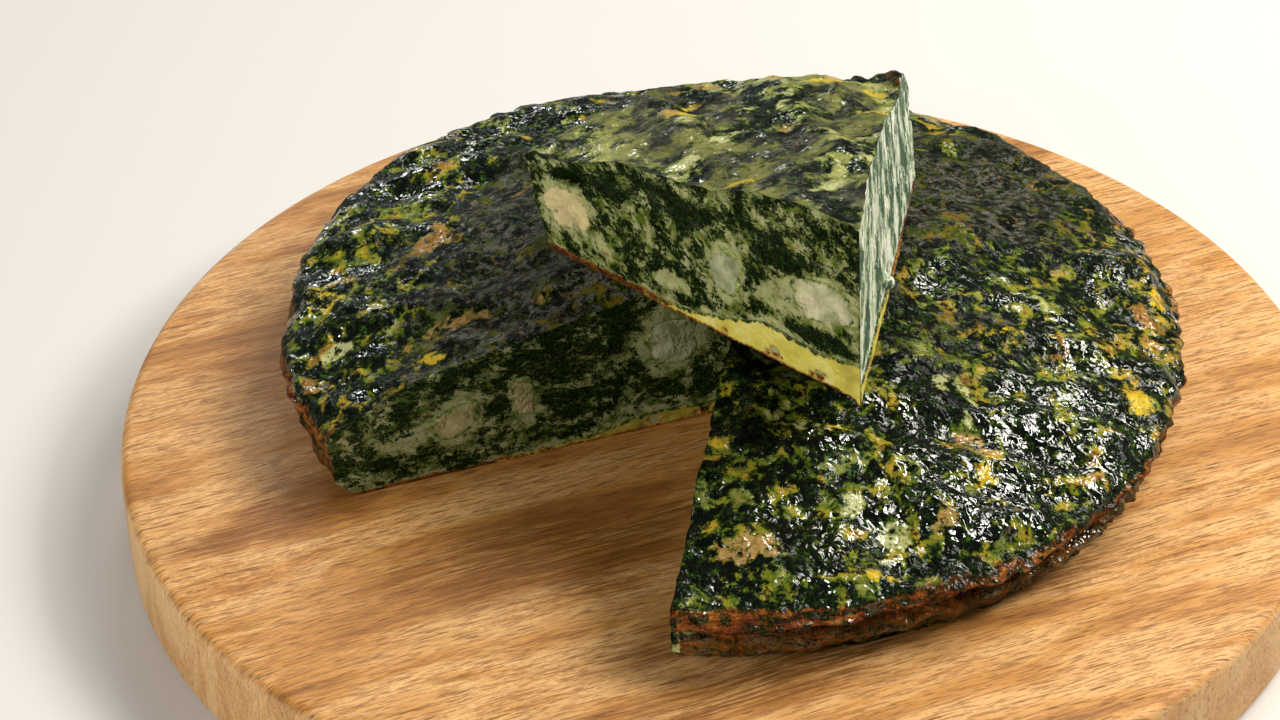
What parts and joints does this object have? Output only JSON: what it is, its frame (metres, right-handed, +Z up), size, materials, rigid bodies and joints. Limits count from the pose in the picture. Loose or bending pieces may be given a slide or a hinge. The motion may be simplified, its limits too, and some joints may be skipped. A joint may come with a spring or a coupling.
{
  "type": "baked spinach frittata on board",
  "caption": "Round baked spinach and cheese frittata on a thick round wooden board, with a wedge cut out and laid on top of the dome.",
  "frame": {"origin": "middle of the board's underside", "axes": "+Z up; the cut-out wedge opens towards -X and -Y, and the slice on top points towards -Y"},
  "size_m": [0.3198, 0.32, 0.1248],
  "materials": {
    "board_wood": "oiled acacia with brown streaks",
    "spinach": null,
    "egg": null,
    "cheese": null
  },
  "bodies": {
    "root": {"board": "board_wood", "frittata": "spinach", "egg_base": "egg", "cheese_left_1": "cheese", "cheese_left_2": "cheese", "cheese_left_3": "cheese", "cheese_right_1": "cheese", "cheese_right_2": "cheese", "cheese_right_3": "cheese", "slice": "spinach", "slice_egg_base": "egg", "slice_cheese_1": "cheese", "slice_cheese_2": "cheese", "slice_cheese_3": "cheese"}
  },
  "joints": []
}
